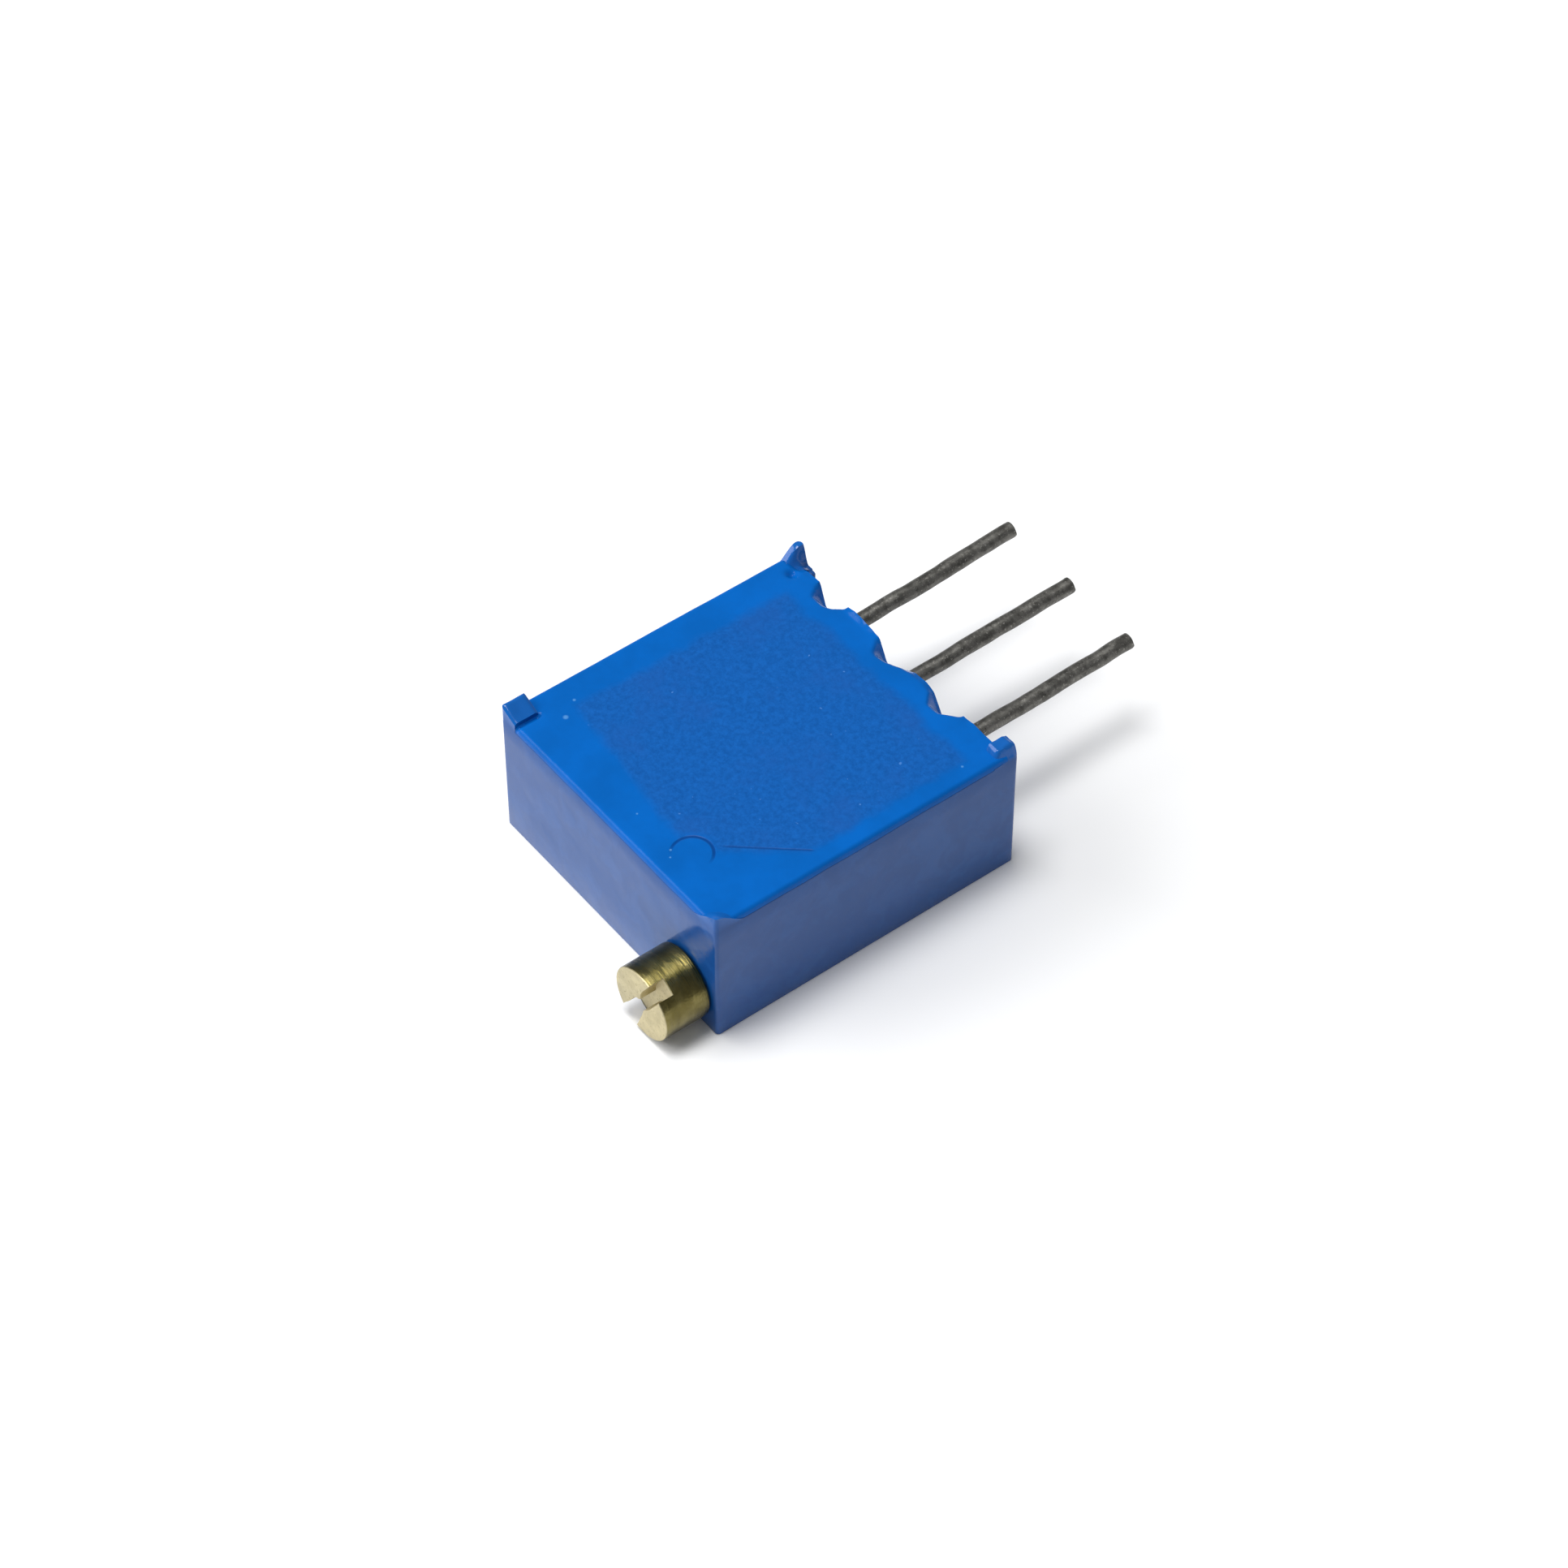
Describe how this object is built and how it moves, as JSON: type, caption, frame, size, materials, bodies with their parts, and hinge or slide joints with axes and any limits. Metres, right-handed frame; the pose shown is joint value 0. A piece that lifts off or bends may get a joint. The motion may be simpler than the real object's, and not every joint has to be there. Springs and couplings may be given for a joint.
{
  "type": "trimmer potentiometer",
  "caption": "Square blue side-adjust multi-turn trimmer resistor with a slotted brass screw, sealed back and in-line wire terminals.",
  "frame": {"origin": "middle of the flat front face, which the part lies on", "axes": "+Y along the wire terminals, away from the screw; +Z out of the sealed back; +X across the row of terminals"},
  "size_m": [0.0096, 0.0175, 0.0047],
  "materials": {
    "housing_plastic": "moulded, slightly glossy",
    "epoxy": "cured epoxy, smooth at the edges and matt in the middle",
    "alumina": "fired, matt",
    "cermet_film": "printed and fired film",
    "silver_film": "printed and fired conductor",
    "tinned_wire": "dull tin, scuffed",
    "solder": "satin",
    "clip_steel": "rolled sheet",
    "turned_brass": "turned, with fine tool marks",
    "seal_rubber": "smooth",
    "wheel_plastic": "moulded",
    "spring_alloy": "stamped and formed"
  },
  "bodies": {
    "case": {"housing": "housing_plastic", "epoxy_seal": "epoxy", "ceramic_plate": "alumina", "resistive_track": "cermet_film", "conductor_1": "silver_film", "conductor_2": "silver_film", "conductor_3": "silver_film", "terminal_1": "tinned_wire", "terminal_2": "tinned_wire", "terminal_3": "tinned_wire", "solder_joint_1": "solder", "solder_joint_2": "solder", "solder_joint_3": "solder", "retaining_clip": "clip_steel"},
    "screw": {"adjusting_screw": "turned_brass", "o_ring": "seal_rubber"},
    "wheel": {"worm_wheel": "wheel_plastic", "wiper_spring": "spring_alloy"}
  },
  "joints": [
    {"name": "screw_turn", "type": "hinge", "parent": "case", "child": "screw", "pos_m": [0.00345, -0.00505, 0.00118], "axis": [0, 1, 0], "range_deg": [-4500, 4500]},
    {"name": "wheel_turn", "type": "hinge", "parent": "case", "child": "wheel", "pos_m": [-0.00017, 0.0005, 0.00118], "axis": [0, 0, 1], "range_deg": [-150.5, 150.5]}
  ],
  "couplings": [
    {"joint": "wheel_turn", "follows": "screw_turn", "ratio": -0.033333}
  ]
}
